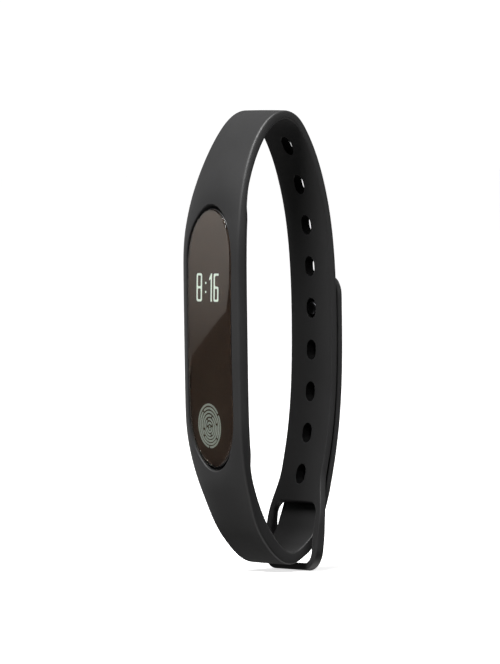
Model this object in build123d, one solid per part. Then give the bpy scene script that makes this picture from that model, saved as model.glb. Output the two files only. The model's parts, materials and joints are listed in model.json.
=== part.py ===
"""Fitness tracker band: a rubber wrist strap with a removable electronics capsule.

Frame, in millimetres: X runs across the band, Y from the display (-Y) to the back
of the wrist (+Y), and Z along the band's long axis. The origin is the centre of the
wrist opening. The strap is one ring in side view. Its hole side runs from the middle
of the cradle up, over the top and down the back to the keeper loop. Its stud side
runs down, under the bottom, out through the loop's window and up over the hole side,
where the stud on its tip sits in one of the nine holes. Stations are arc lengths
along either side, measured from the middle of the cradle.
"""

from build123d import *
import os

# ---- strap ----
FACE_Y = -11.6              # front of the lens at its middle
CRADLE_Z = 0.95             # middle of the cradle
STRAP_T = 1.2               # thickness of the hole side and of the cradle's ends
TAIL_T = 1.05               # thickness of the stud side past the bottom bend
CRADLE_HALF_W = 8.35
STRAP_HALF_W = 6.0
TAIL_HALF_W = 5.75
WIDE_TO = 13.0              # the cradle keeps its full width this far from its middle
NARROW_AT = 38.0            # and has the strap's width from here on
EDGE_R = 0.35               # rounding of the strap's long edges
TIP_CORNER_R = 3.2          # rounding of the free end's corners
CROWN_RISE = 0.6            # the cradle's front stands proud of the strap's face by this
CROWN_SWELL = 0.45          # and by this much more just beyond the capsule's ends
SWELL_AT = 24.0
FLANGE_RISE = 1.35          # and its back flange stands inward by this
TOP_THICKER = 0.4           # the strap is this much thicker inwards where it turns over the wrist
TOP_THICK = (22.0, 34.0, 38.0, 46.0)    # stations where it grows thicker and thins again
UNDER_THICKER = 0.6         # and inwards and outwards where it turns under the wrist
UNDER_THICK = (18.0, 32.0, 45.0, 49.0)
UNDER_RISE = 0.45
UNDER_RISES = (26.0, 34.0, 40.0, 43.5)
RIM_BEVEL = (0.25, 0.6)     # widening of the opening at its front edge, across and along
HINGE_GAP = 0.3             # space left between two segments where the strap bends

# side view of the strap's mid-surface, from the middle of the cradle outwards
HOLE_SIDE_YZ = [
    (-10.35, 0.95), (-10.33, 11.0), (-10.17, 16.8), (-9.54, 21.8), (-8.25, 26.6), (-6.12, 31.8),
    (-4.4, 34.6), (-1.85, 37.1), (0.15, 37.75), (2.15, 37.15), (4.1, 34.8), (5.61, 31.8),
    (7.33, 26.8), (8.46, 21.8), (9.5, 11.8), (9.62, 0.1), (9.16, -9.9), (8.3, -16.6),
    (6.92, -23.2), (5.45, -29.9), (4.8, -34.0), (4.35, -38.4),
]
STUD_SIDE_YZ = [
    (-10.35, 0.95), (-10.33, -9.1), (-10.17, -14.9), (-9.54, -19.9), (-8.25, -24.7),
    (-6.15, -29.7), (-3.8, -33.25), (-1.4, -35.6), (0.7, -36.35), (2.8, -35.65),
    (4.85, -33.8), (6.15, -30.8), (7.38, -27.4), (8.5, -23.2), (9.78, -16.6),
    (10.56, -9.9), (10.97, 0.1), (11.0, 10.6),
]

# stations where the strap bends
TOP_BEND = 40.6
BACK_BEND = 72.7
BOTTOM_BEND = 37.2
WINDOW_BEND = 49.9
PEEL_BEND = 54.1
CURL_BEND = 74.2

# holes, counted from the top of the back
HOLE_COUNT = 9
HOLE_LENGTH = 3.4
HOLE_WIDTH = 2.7
HOLE_PITCH = 7.0
STUD_HOLE = 5               # the hole that holds the stud
STUD_HOLE_AT = 76.2         # its station on the hole side

# keeper loop at the end of the hole side
LOOP_HALF_W = 7.8
LOOP_TOP_Z = -24.6
LOOP_SHOULDER_Z = -28.6
LOOP_END_Z = -38.4
LOOP_CORNER_R = 3.6
LOOP_THICKER = 0.4          # the loop's lower part is this much thicker, outwards
LOOP_GROWS = (110.5, 115.0)  # stations between which it grows thicker
WINDOW_HALF_W = 6.15
WINDOW_TOP_Z = -27.3
WINDOW_END_Z = -37.2
WINDOW_CORNER_R = 1.9

# ---- capsule, seen from the front: straight sides and half-ellipse ends ----
CAPSULE_Z = 0.7             # middle of the capsule
END_L = 8.8                 # length of each rounded end
CURVE_DROP = 0.8            # how far the ends of the curved face fall back
LENS_HALF = (6.3, 21.35)
SHELL_HALF = (6.48, 21.5)
SHELL_WALL = 0.9
SHELL_SKIRT = 0.2           # the shell's rim starts this far behind the lens front
REAR_HALF = (5.2, 20.2)
REAR_WALL = 0.55            # at the rear cover's crowned back
POCKET_CLEAR = 0.1          # around the capsule in the cradle
REAR_CROWN_R = 8.6          # across the back of the capsule
SEAT_CLEAR = 0.03           # between the lens and the shell's seat
SHELL_OPENING_IN = 0.28     # the shell's floor reaches this far inside the rear cover's outline
GASKET_IN = 0.32            # and the gasket and the cover's spigot a little further
SPIGOT_IN = 0.34
HOLLOW_IN = 0.8             # from the rear cover's outline to its hollow
WINDOW_CLEAR = 0.02         # around the sensor window and the contacts in the cover

# depths behind the lens front
LENS_BACK = 0.6
PANEL_FRONT = 0.7
PANEL_BACK = 1.1
BOARD_FRONT = 1.6
BOARD_BACK = 2.2
SHELL_FLOOR = 2.1
SPIGOT_FRONT = 2.3
SHELL_BACK = 2.7
COVER_FRONT = 2.8
COVER_BACK = 5.8
CELL_FRONT = 2.6
OPTICS_FRONT = 3.6          # sensor board behind the battery's foot
OPTICS_BACK = 4.0
WINDOW_FRONT = 4.9

# ---- places inside the capsule ----
DIGIT_Z = 8.8
DIGIT_H = 4.6
DIGIT_W = 1.65
STROKE = 0.45
INK_T = 0.06                # thickness of the lit digits and of the icon's ink
DIGITS = (("8", -2.75), ("1", 0.05), ("6", 2.45))
COLON_X = -0.75
COLON_HALF = 0.75           # from the middle of the colon to each dot
ICON_Z = -14.6
ICON_HALF = (3.45, 3.85)
ICON_RINGS = 4
ICON_LINE = 0.4
ICON_SLOT = (0.9, 5.2)      # the opening at the bottom of the rings
TOUCH_PAD_HALF = (3.9, 4.3)
TOUCH_PAD_T = 0.08
FLEX_T = 0.1
PANEL_Z = 7.6
PANEL_SIZE = (9.0, 16.0)
BOARD_HALF = (4.7, 18.6)
BOARD_END_L = 7.5
BOARD_HOLE_Z = 17.0
BOARD_HOLE_R = 0.5
CELL_Z = 7.3
CELL_SIZE = (7.4, 1.75, 14.6)
SENSOR_Z = -6.0
OPTIC_PITCH = 2.6           # from the photodiode to each light source
CONTACT_Z = -15.6
CONTACT_X = 2.2
CONTACT_R = 0.9
MOTOR_Z = -11.9
MOTOR_DEPTH = 3.25
MOTOR_R = 0.95

# ---- stud ----
STUD_AT = 85.3              # its station on the stud side
STUD_SHAFT_R = 0.9
STUD_HEAD_R = 1.15
STUD_HEAD_T = 0.7
STUD_CAP_R = 2.1
STUD_CAP_T = 0.3


def side_line(points, start_up):
    """Smooth line through side-view points, leaving the cradle straight."""
    vectors = [Vector(0, y, z) for y, z in points]
    tangents = [Vector(0, 0, start_up), (vectors[-1] - vectors[-2]).normalized()]
    return Spline(vectors, tangents=tangents)


HOLE_SIDE = side_line(HOLE_SIDE_YZ, 1)
STUD_SIDE = side_line(STUD_SIDE_YZ, -1)


def outward(line, station):
    """Point on a side of the strap and its direction away from the wrist."""
    turn = 1 if line is HOLE_SIDE else -1
    point = line.position_at(station, PositionMode.LENGTH)
    along = line.tangent_at(station, PositionMode.LENGTH)
    return point, Vector(0, -turn * along.Z, turn * along.Y)


def parallel(line, start, stop, offset, step=1.5):
    """Points beside a stretch of a line; offset is a distance or a function of the station."""
    count = max(3, round((stop - start) / step))
    points = []
    for i in range(count + 1):
        station = start + (stop - start) * i / count
        point, normal = outward(line, station)
        distance = offset(station) if callable(offset) else offset
        points.append(point + normal * distance)
    return points


def band(outer_points, inner_points, half_width):
    """Solid between two side-view curves that run the same way."""
    outer = Spline(outer_points)
    inner = Spline(inner_points)
    edges = [outer, Line(outer @ 1, inner @ 1), inner, Line(inner @ 0, outer @ 0)]
    return extrude(make_face(edges), half_width, both=True)


def fade(value, full, none):
    """1 up to full, 0 from none on, and a smooth curve between."""
    t = min(1.0, max(0.0, (value - full) / (none - full)))
    return 1.0 - t * t * (3.0 - 2.0 * t)


def swell(station, rise_from, rise_to, fall_from, fall_to):
    """0, then 1 between the middle two stations, then 0 again, smoothly."""
    return (1 - fade(station, rise_from, rise_to)) * fade(station, fall_from, fall_to)


def extra_outside(line, station):
    """What the bends beside the cradle add to the strap's outer face."""
    return 0.0 if line is HOLE_SIDE else UNDER_RISE * swell(station, *UNDER_RISES)


def extra_inside(line, station):
    if line is HOLE_SIDE:
        return TOP_THICKER * swell(station, *TOP_THICK)
    return UNDER_THICKER * swell(station, *UNDER_THICK)


def strap_piece(line, start, stop, thickness, half_width):
    """Stretch of strap of one width with rounded long edges."""
    piece = band(
        parallel(line, start, stop, lambda s: thickness / 2 + extra_outside(line, s)),
        parallel(line, start, stop, lambda s: -thickness / 2 - extra_inside(line, s)),
        half_width,
    )
    sides = piece.faces().filter_by(Axis.X)
    return fillet(sides.edges().filter_by(GeomType.BSPLINE), EDGE_R)


def front_view(z, depth=0.0):
    """Plane that faces the front, at a height and a depth behind the lens front."""
    return Plane(origin=(0, FACE_Y + depth, z), x_dir=(1, 0, 0), z_dir=(0, -1, 0))


def capsule_outline(half, end=END_L):
    """Outline of the capsule with its two half-ellipse ends."""
    half_w, half_l = half
    straight = half_l - end
    middle = Rectangle(2 * half_w, 2 * straight)
    tips = Pos(0, straight) * Ellipse(half_w, end) + Pos(0, -straight) * Ellipse(half_w, end)
    return middle + tips


def curved_layer(outline, front, back, z=CAPSULE_Z):
    """Layer of an outline between two depths, bent along Z like the lens."""
    reach = LENS_HALF[1] + 1.5
    fall = CURVE_DROP * (reach / LENS_HALF[1]) ** 2

    def arc(depth):
        y = FACE_Y + depth
        ends = [(0, y + fall, CAPSULE_Z - reach), (0, y + fall, CAPSULE_Z + reach)]
        return ThreePointArc(ends[0], (0, y, CAPSULE_Z), ends[1])

    near, far = arc(front), arc(back)
    edges = [near, Line(near @ 1, far @ 1), far, Line(far @ 0, near @ 0)]
    slab = extrude(make_face(edges), 10, both=True)
    return slab & extrude(front_view(z) * outline, 15, both=True)


def flat_layer(outline, front, back, z=CAPSULE_Z):
    """Layer of an outline between two depths."""
    return extrude(front_view(z, back) * outline, back - front)


def rod(radius, start, stop):
    """Round bar between two points."""
    axis = Vector(*stop) - Vector(*start)
    return extrude(Plane(origin=start, z_dir=axis) * Circle(radius), axis.length)


def save(name, shape):
    export_step(shape, f"parts/{name}.step")


# ---- strap ----

def width_limit():
    """Block whose sides narrow from the cradle to the strap, seen from the front."""
    steps = 8
    extra = CRADLE_HALF_W - STRAP_HALF_W
    heights = [WIDE_TO + (NARROW_AT - WIDE_TO) * i / steps for i in range(steps + 1)]
    halves = [STRAP_HALF_W + extra * fade(z, WIDE_TO, NARROW_AT) for z in heights]
    taper = Spline(list(zip(halves, heights)), tangents=[(0, 1), (0, 1)])
    corner = (0, NARROW_AT)
    edges = [
        Line((0, 0), (CRADLE_HALF_W, 0)),
        Line((CRADLE_HALF_W, 0), taper @ 0),
        taper,
        Line(taper @ 1, corner),
        Line(corner, (0, 0)),
    ]
    quarter = Sketch() + make_face(edges)
    half = quarter + mirror(quarter, Plane.YZ)
    outline = half + mirror(half, Plane.XZ)
    return extrude(front_view(CRADLE_Z) * outline, 30, both=True)


def cradle_front(line, station):
    """Height of the cradle's front over the mid-surface: flush with the capsule's curve."""
    crest = CROWN_SWELL * fade(abs(station - SWELL_AT), 0.0, 8.0)
    rise = CROWN_RISE * fade(station, 24.0, 40.0)
    return STRAP_T / 2 + rise + crest + extra_outside(line, station)


def cradle_back(line, station):
    flange = FLANGE_RISE * fade(station, 14.5, 27.0)
    return -STRAP_T / 2 - max(flange, extra_inside(line, station))


def make_cradle():
    """Front of the strap: the frame that the capsule sits in, and both bends beside it."""
    top = TOP_BEND - HINGE_GAP / 2
    bottom = BOTTOM_BEND - HINGE_GAP / 2
    curves = []
    for surface in (cradle_front, cradle_back):
        lower = parallel(STUD_SIDE, 0, bottom, lambda s: surface(STUD_SIDE, s))
        upper = parallel(HOLE_SIDE, 0, top, lambda s: surface(HOLE_SIDE, s))
        curves.append(lower[:0:-1] + upper)
    cradle = band(curves[0], curves[1], CRADLE_HALF_W + 1) & width_limit()
    clear = POCKET_CLEAR
    pocket = (SHELL_HALF[0] + clear, SHELL_HALF[1] + clear)
    opening = (REAR_HALF[0] + clear, REAR_HALF[1] + clear)
    cradle -= curved_layer(capsule_outline(pocket), -3, SHELL_BACK + clear)
    cradle -= curved_layer(capsule_outline(opening), -3, 6)
    rim = (pocket[0] + RIM_BEVEL[0], pocket[1] + RIM_BEVEL[1])
    cradle -= curved_layer(capsule_outline(rim), -3, 0.1)
    return cradle


def hole_cutter(number):
    """Oval prism through the strap at one hole."""
    station = STUD_HOLE_AT + (number - STUD_HOLE) * HOLE_PITCH
    point, normal = outward(HOLE_SIDE, station)
    along = HOLE_SIDE.tangent_at(station, PositionMode.LENGTH)
    plane = Plane(origin=point, x_dir=along, z_dir=normal)
    return extrude(plane * SlotOverall(HOLE_LENGTH, HOLE_WIDTH), 1.5, both=True)


def make_upper():
    """Back of the strap from the top bend down to the back bend, with the first holes."""
    start = TOP_BEND + HINGE_GAP / 2
    stop = BACK_BEND - HINGE_GAP / 2
    piece = strap_piece(HOLE_SIDE, start, stop, STRAP_T, STRAP_HALF_W)
    for number in range(1, STUD_HOLE):
        piece -= hole_cutter(number)
    return piece


def loop_outline():
    """Front-view outline of the lower back strap: it widens into the keeper loop."""
    body = Pos(0, -10) * Rectangle(2 * STRAP_HALF_W, 50)
    head_l = LOOP_SHOULDER_Z - LOOP_END_Z
    head = Pos(0, LOOP_END_Z + head_l / 2) * RectangleRounded(
        2 * LOOP_HALF_W, head_l, LOOP_CORNER_R
    )
    neck = Polygon(
        (STRAP_HALF_W, LOOP_TOP_Z + 1),
        (-STRAP_HALF_W, LOOP_TOP_Z + 1),
        (-LOOP_HALF_W, LOOP_SHOULDER_Z - LOOP_CORNER_R),
        (LOOP_HALF_W, LOOP_SHOULDER_Z - LOOP_CORNER_R),
        align=None,
    )
    return body + head + neck


def window_outline():
    length = WINDOW_TOP_Z - WINDOW_END_Z
    middle = (WINDOW_TOP_Z + WINDOW_END_Z) / 2
    return Pos(0, middle) * RectangleRounded(2 * WINDOW_HALF_W, length, WINDOW_CORNER_R)


def loop_outside(station):
    """Height of the lower back strap's outer face: the loop is thicker than the strap."""
    return STRAP_T / 2 + LOOP_THICKER * (1 - fade(station, *LOOP_GROWS))


def make_lower():
    """Back of the strap below the back bend, with the keeper loop at its end."""
    start = BACK_BEND + HINGE_GAP / 2
    stop = HOLE_SIDE.length
    piece = band(
        parallel(HOLE_SIDE, start, stop, loop_outside),
        parallel(HOLE_SIDE, start, stop, -STRAP_T / 2),
        LOOP_HALF_W + 1,
    )
    piece &= extrude(front_view(0) * loop_outline(), 30, both=True)
    piece -= extrude(front_view(0) * window_outline(), 30, both=True)
    for number in range(STUD_HOLE, HOLE_COUNT + 1):
        piece -= hole_cutter(number)
    return piece


def make_stud_side(start, stop):
    """Stretch of the stud side between two bends."""
    gap = HINGE_GAP / 2
    return strap_piece(STUD_SIDE, start + gap, stop - gap, TAIL_T, TAIL_HALF_W)


def stud_place():
    """Centre of the stud's hole, its outward direction, and the tail's outer face there."""
    point, normal = outward(HOLE_SIDE, STUD_HOLE_AT)
    tail_y = STUD_SIDE.position_at(STUD_AT, PositionMode.LENGTH).Y
    return point, normal, tail_y - point.Y + TAIL_T / 2


def make_tip():
    """Rounded free end of the stud side, with the hole that holds the stud's shaft."""
    start = CURL_BEND + HINGE_GAP / 2
    tip = strap_piece(STUD_SIDE, start, STUD_SIDE.length, TAIL_T, TAIL_HALF_W)
    reach = 30
    end = Pos(0, (STUD_SIDE @ 1).Z - reach / 2)
    limit = end * RectangleRounded(2 * TAIL_HALF_W, reach, TIP_CORNER_R)
    tip &= extrude(front_view(0) * limit, 30, both=True)
    point, normal, outer = stud_place()
    bore = rod(STUD_SHAFT_R, point, point + normal * (outer + 1))
    recess_floor = point + normal * (outer - STUD_CAP_T)
    recess = rod(STUD_CAP_R, recess_floor, point + normal * (outer + 1))
    return tip - bore - recess


def make_stud():
    """Shaft through the tail with a rounded head inside the strap hole."""
    point, normal, outer = stud_place()
    inner = -STRAP_T / 2
    shaft = rod(STUD_SHAFT_R, point + normal * inner, point + normal * (outer - STUD_CAP_T))
    head = rod(STUD_HEAD_R, point + normal * inner, point + normal * (inner + STUD_HEAD_T))
    head = fillet(head.edges(), 0.25)
    return shaft + head


def make_stud_cap():
    """Flat disc on the outside of the tail, set flush in its recess."""
    point, normal, outer = stud_place()
    return rod(STUD_CAP_R, point + normal * (outer - STUD_CAP_T), point + normal * outer)


# ---- capsule casing ----

def make_lens():
    return curved_layer(capsule_outline(LENS_HALF), 0, LENS_BACK)


def make_shell():
    """Front shell: a rim around the lens, a ledge behind it, and a floor with a wide opening."""
    shell = curved_layer(capsule_outline(SHELL_HALF), SHELL_SKIRT, SHELL_BACK)
    seat = (LENS_HALF[0] + SEAT_CLEAR, LENS_HALF[1] + SEAT_CLEAR)
    cavity = (SHELL_HALF[0] - SHELL_WALL, SHELL_HALF[1] - SHELL_WALL)
    shell -= curved_layer(capsule_outline(seat), -1, PANEL_FRONT)
    shell -= curved_layer(capsule_outline(cavity), -1, SHELL_FLOOR)
    opening = (REAR_HALF[0] - SHELL_OPENING_IN, REAR_HALF[1] - SHELL_OPENING_IN)
    shell -= curved_layer(capsule_outline(opening), -1, SHELL_BACK + 1)
    return shell


def ring_layer(half_outer, half_inner, front, back):
    return curved_layer(capsule_outline(half_outer), front, back) - curved_layer(
        capsule_outline(half_inner), front - 1, back + 1
    )


def make_lens_adhesive():
    inner = (SHELL_HALF[0] - SHELL_WALL, SHELL_HALF[1] - SHELL_WALL)
    return ring_layer(LENS_HALF, inner, LENS_BACK, PANEL_FRONT)


def make_gasket():
    """Flat seal between the shell and the shoulder of the rear cover."""
    inner = (REAR_HALF[0] - GASKET_IN, REAR_HALF[1] - GASKET_IN)
    return ring_layer(REAR_HALF, inner, SHELL_BACK, COVER_FRONT)


def crown(radius_less):
    """Long round bar whose back is the crowned back of the capsule."""
    radius = REAR_CROWN_R - radius_less
    axis_y = FACE_Y + COVER_BACK - REAR_CROWN_R
    return Pos(0, axis_y, CAPSULE_Z) * Cylinder(radius, 60)


def sensor_outline(clear=0.0):
    return SlotOverall(8.0 + 2 * clear, 5.0 + 2 * clear, rotation=90)


def make_rear_cover():
    """Crowned tub with a spigot that enters the shell."""
    body = flat_layer(capsule_outline(REAR_HALF), COVER_FRONT, COVER_BACK + 1) & crown(0)
    body -= curved_layer(capsule_outline(SHELL_HALF), 0, COVER_FRONT)
    inner = (REAR_HALF[0] - HOLLOW_IN, REAR_HALF[1] - HOLLOW_IN)
    spigot_half = (REAR_HALF[0] - SPIGOT_IN, REAR_HALF[1] - SPIGOT_IN)
    body += curved_layer(capsule_outline(spigot_half), SPIGOT_FRONT, COVER_FRONT + 0.05)
    hollow = flat_layer(capsule_outline(inner), -1, COVER_BACK) & crown(REAR_WALL)
    body -= hollow
    body -= flat_layer(sensor_outline(WINDOW_CLEAR), 3, 8, SENSOR_Z)
    for x in (-CONTACT_X, CONTACT_X):
        body -= rod(CONTACT_R + WINDOW_CLEAR, (x, FACE_Y + 4, CONTACT_Z), (x, FACE_Y + 8, CONTACT_Z))
    return body


def make_sensor_window():
    return flat_layer(sensor_outline(), WINDOW_FRONT, COVER_BACK + 1, SENSOR_Z) & crown(0)


def make_charge_contacts():
    """Two gilded pads, flush with the crowned back."""
    pads = []
    for x in (-CONTACT_X, CONTACT_X):
        bar = rod(CONTACT_R, (x, FACE_Y + 4.6, CONTACT_Z), (x, FACE_Y + 8, CONTACT_Z))
        pads.append(bar & crown(0))
    return pads[0] + pads[1]


# ---- display and touch ----

SEGMENTS = {"8": "abcdefg", "1": "bc", "6": "acdefg"}


def digit(character):
    """Narrow seven-segment digit, centred on the origin."""
    half_w = (DIGIT_W - STROKE) / 2
    half_h = (DIGIT_H - STROKE) / 2
    flat = Rectangle(DIGIT_W, STROKE)
    upright = Rectangle(STROKE, half_h + STROKE)
    bars = {
        "a": Pos(0, half_h) * flat,
        "d": Pos(0, -half_h) * flat,
        "g": flat,
        "b": Pos(half_w, half_h / 2) * upright,
        "c": Pos(half_w, -half_h / 2) * upright,
        "f": Pos(-half_w, half_h / 2) * upright,
        "e": Pos(-half_w, -half_h / 2) * upright,
    }
    shape = Sketch()
    for name in SEGMENTS[character]:
        shape += bars[name]
    return shape


def make_digits():
    """The lit time, as one group of thin shapes on the display."""
    face = Sketch()
    for character, x in DIGITS:
        face += Pos(x, 0) * digit(character)
    for y in (-COLON_HALF, COLON_HALF):
        face += Pos(COLON_X, y) * Rectangle(STROKE, STROKE)
    return curved_layer(face, PANEL_FRONT - INK_T, PANEL_FRONT, DIGIT_Z)


def make_icon():
    """Touch mark: nested ovals, open at the bottom."""
    shape = Sketch()
    for i in range(ICON_RINGS):
        scale = 1 - i / ICON_RINGS
        half_w, half_h = ICON_HALF[0] * scale, ICON_HALF[1] * scale
        shape += Ellipse(half_w, half_h) - Ellipse(half_w - ICON_LINE, half_h - ICON_LINE)
    shape -= Pos(0, -ICON_SLOT[1] / 2 - ICON_LINE) * Rectangle(*ICON_SLOT)
    return curved_layer(shape, LENS_BACK, LENS_BACK + INK_T, ICON_Z)


def make_panel():
    outline = RectangleRounded(*PANEL_SIZE, 0.4)
    return curved_layer(outline, PANEL_FRONT, PANEL_BACK, PANEL_Z)


def make_touch_pad():
    return curved_layer(Ellipse(*TOUCH_PAD_HALF), PANEL_FRONT, PANEL_FRONT + TOUCH_PAD_T, ICON_Z)


def flex_tail(width, length, z, front, leg_z):
    """Thin flexible strip behind a part, with a leg that reaches the main board."""
    strip = curved_layer(Rectangle(width, length), front, front + FLEX_T, z)
    leg = flat_layer(Rectangle(width, FLEX_T), front + FLEX_T / 2, BOARD_FRONT, leg_z)
    return strip + leg


# ---- electronics ----

def make_board():
    outline = capsule_outline(BOARD_HALF, BOARD_END_L)
    for z in (-BOARD_HOLE_Z, BOARD_HOLE_Z):
        outline -= Pos(0, z) * Circle(BOARD_HOLE_R)
    return flat_layer(outline, BOARD_FRONT, BOARD_BACK)


def board_chip(width, length, height, x, z, corner=0.12):
    outline = Pos(x, 0) * RectangleRounded(width, length, corner)
    return flat_layer(outline, BOARD_BACK, BOARD_BACK + height, z)


def make_capacitors():
    """Row of small capacitors beside the radio chip."""
    parts = Part()
    for i in range(6):
        parts += board_chip(0.5, 0.9, 0.35, -3.4 + 0.85 * i, -3.2, 0.05)
    return parts


def make_battery():
    """Pouch cell with rounded long edges."""
    cell = Pos(0, FACE_Y + CELL_FRONT + CELL_SIZE[1] / 2, CELL_Z) * Box(*CELL_SIZE)
    return fillet(cell.edges().filter_by(Axis.Z), 0.8)


def make_battery_tabs():
    """Two strips from the foot of the cell to the main board."""
    foot_z = CELL_Z - CELL_SIZE[2] / 2
    tabs = Part()
    for x in (-1.2, 1.2):
        tabs += flat_layer(Pos(x, 0) * Rectangle(0.9, 0.9), 3.0, 3.1, foot_z - 0.45)
        tabs += flat_layer(Pos(x, 0) * Rectangle(0.9, 0.1), BOARD_BACK, 3.1, foot_z - 0.85)
    return tabs


def make_battery_foam():
    return flat_layer(RectangleRounded(6.4, 12.0, 0.5), CELL_FRONT - 0.1, CELL_FRONT, CELL_Z)


def make_sensor_board():
    outline = RectangleRounded(6.4, 9.0, 0.8)
    return flat_layer(outline, OPTICS_FRONT, OPTICS_BACK, SENSOR_Z)


def make_heart_leds():
    leds = Part()
    for z in (-OPTIC_PITCH, OPTIC_PITCH):
        outline = Pos(0, z) * RectangleRounded(1.2, 1.0, 0.1)
        leds += flat_layer(outline, OPTICS_BACK, OPTICS_BACK + 0.4, SENSOR_Z)
    return leds


def make_photodiode():
    outline = RectangleRounded(2.0, 1.9, 0.1)
    return flat_layer(outline, OPTICS_BACK, OPTICS_BACK + 0.4, SENSOR_Z)


def make_baffle():
    """Light shield: one frame with a cell for each optical chip."""
    frame = flat_layer(SlotOverall(8.4, 5.4, rotation=90), OPTICS_BACK, WINDOW_FRONT, SENSOR_Z)
    frame &= crown(REAR_WALL + 0.05)
    cells = Rectangle(2.4, 2.4)
    for z in (-OPTIC_PITCH, OPTIC_PITCH):
        cells += Pos(0, z) * Rectangle(1.6, 1.4)
    return frame - flat_layer(cells, OPTICS_BACK - 1, WINDOW_FRONT + 1, SENSOR_Z)


def motor_rod(radius, start_x, stop_x):
    y = FACE_Y + MOTOR_DEPTH
    return rod(radius, (start_x, y, MOTOR_Z), (stop_x, y, MOTOR_Z))


def make_motor():
    """Can of the vibration motor, bored for its shaft."""
    return motor_rod(MOTOR_R, -3.9, -0.3) - motor_rod(0.2, -1.6, 0.0)


def make_motor_weight():
    """Half-round weight and the shaft that carries it."""
    weight = motor_rod(0.88, 0.1, 2.0)
    weight -= Pos(1.0, FACE_Y + MOTOR_DEPTH + 1.0, MOTOR_Z) * Box(3, 1.6, 3)
    return motor_rod(0.16, -1.4, 2.2) + weight


def make_contact_springs():
    """Two sprung pins from the charging pads to the main board."""
    pins = Part()
    for x in (-CONTACT_X, CONTACT_X):
        near = FACE_Y + BOARD_BACK
        pins += rod(0.45, (x, near, CONTACT_Z), (x, near + 1.4, CONTACT_Z))
        pins += rod(0.28, (x, near + 1.4, CONTACT_Z), (x, FACE_Y + 4.6, CONTACT_Z))
    return pins


def main():
    os.makedirs("parts", exist_ok=True)
    save("strap_cradle", make_cradle())
    save("strap_upper", make_upper())
    save("strap_keeper_loop", make_lower())
    save("strap_bottom", make_stud_side(BOTTOM_BEND, WINDOW_BEND))
    save("strap_window_bend", make_stud_side(WINDOW_BEND, PEEL_BEND))
    save("strap_tail", make_stud_side(PEEL_BEND, CURL_BEND))
    save("strap_tail_tip", make_tip())
    save("clasp_stud", make_stud())
    save("clasp_cap", make_stud_cap())
    save("display_lens", make_lens())
    save("capsule_shell", make_shell())
    save("lens_adhesive", make_lens_adhesive())
    save("seal_gasket", make_gasket())
    save("rear_cover", make_rear_cover())
    save("sensor_window", make_sensor_window())
    save("charge_contacts", make_charge_contacts())
    save("contact_springs", make_contact_springs())
    save("display_panel", make_panel())
    save("display_digits", make_digits())
    save("display_flex", flex_tail(4.0, 2.4, 0.9, PANEL_BACK, -0.25))
    save("touch_icon", make_icon())
    save("touch_pad", make_touch_pad())
    save("touch_flex", flex_tail(1.6, 3.2, -10.4, PANEL_FRONT + TOUCH_PAD_T, -8.85))
    save("main_board", make_board())
    save("radio_chip", board_chip(3.0, 3.0, 0.45, 0.0, -6.2))
    save("memory_chip", board_chip(2.4, 2.0, 0.4, 3.0, -6.2))
    save("motion_sensor", board_chip(2.0, 2.0, 0.4, -3.0, -6.2))
    save("antenna_chip", board_chip(3.2, 1.2, 0.45, 0.0, 15.8))
    save("board_capacitors", make_capacitors())
    save("battery_cell", make_battery())
    save("battery_tabs", make_battery_tabs())
    save("battery_foam", make_battery_foam())
    save("sensor_board", make_sensor_board())
    save("heart_leds", make_heart_leds())
    save("photodiode", make_photodiode())
    save("light_baffle", make_baffle())
    save("vibration_motor", make_motor())
    save("motor_weight", make_motor_weight())


main()
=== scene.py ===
import json
import math

import bmesh
import bpy
import numpy as np
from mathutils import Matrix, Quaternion, Vector
from mathutils.geometry import tessellate_polygon


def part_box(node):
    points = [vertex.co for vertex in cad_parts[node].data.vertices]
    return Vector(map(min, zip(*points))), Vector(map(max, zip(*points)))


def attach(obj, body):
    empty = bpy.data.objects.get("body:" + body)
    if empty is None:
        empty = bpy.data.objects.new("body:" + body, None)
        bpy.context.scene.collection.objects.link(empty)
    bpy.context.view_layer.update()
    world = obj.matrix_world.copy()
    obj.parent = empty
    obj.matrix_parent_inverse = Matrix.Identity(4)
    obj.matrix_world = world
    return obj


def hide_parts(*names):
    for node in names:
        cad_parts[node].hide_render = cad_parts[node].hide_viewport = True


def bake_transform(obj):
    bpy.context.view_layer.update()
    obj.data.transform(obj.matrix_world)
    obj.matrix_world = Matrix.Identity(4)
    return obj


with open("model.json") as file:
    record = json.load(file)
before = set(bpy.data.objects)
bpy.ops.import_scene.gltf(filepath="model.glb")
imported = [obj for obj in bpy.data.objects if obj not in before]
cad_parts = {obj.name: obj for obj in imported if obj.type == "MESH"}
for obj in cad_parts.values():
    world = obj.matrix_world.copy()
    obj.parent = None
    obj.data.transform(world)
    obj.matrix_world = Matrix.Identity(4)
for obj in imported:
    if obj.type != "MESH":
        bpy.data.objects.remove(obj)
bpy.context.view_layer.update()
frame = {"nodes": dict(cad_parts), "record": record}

# Fitness tracker band. The frame is the CAD's, in metres: X across the band, the display
# faces -Y, Z along the band. Sizes here are in millimetres and become metres in the meshes.
MM = 0.001


def low(node, axis):
    """Lowest coordinate of a CAD node along an axis, in millimetres."""
    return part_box(node)[0][axis] / MM


def high(node, axis):
    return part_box(node)[1][axis] / MM


def halfway(node, axis):
    return (low(node, axis) + high(node, axis)) / 2


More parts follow.
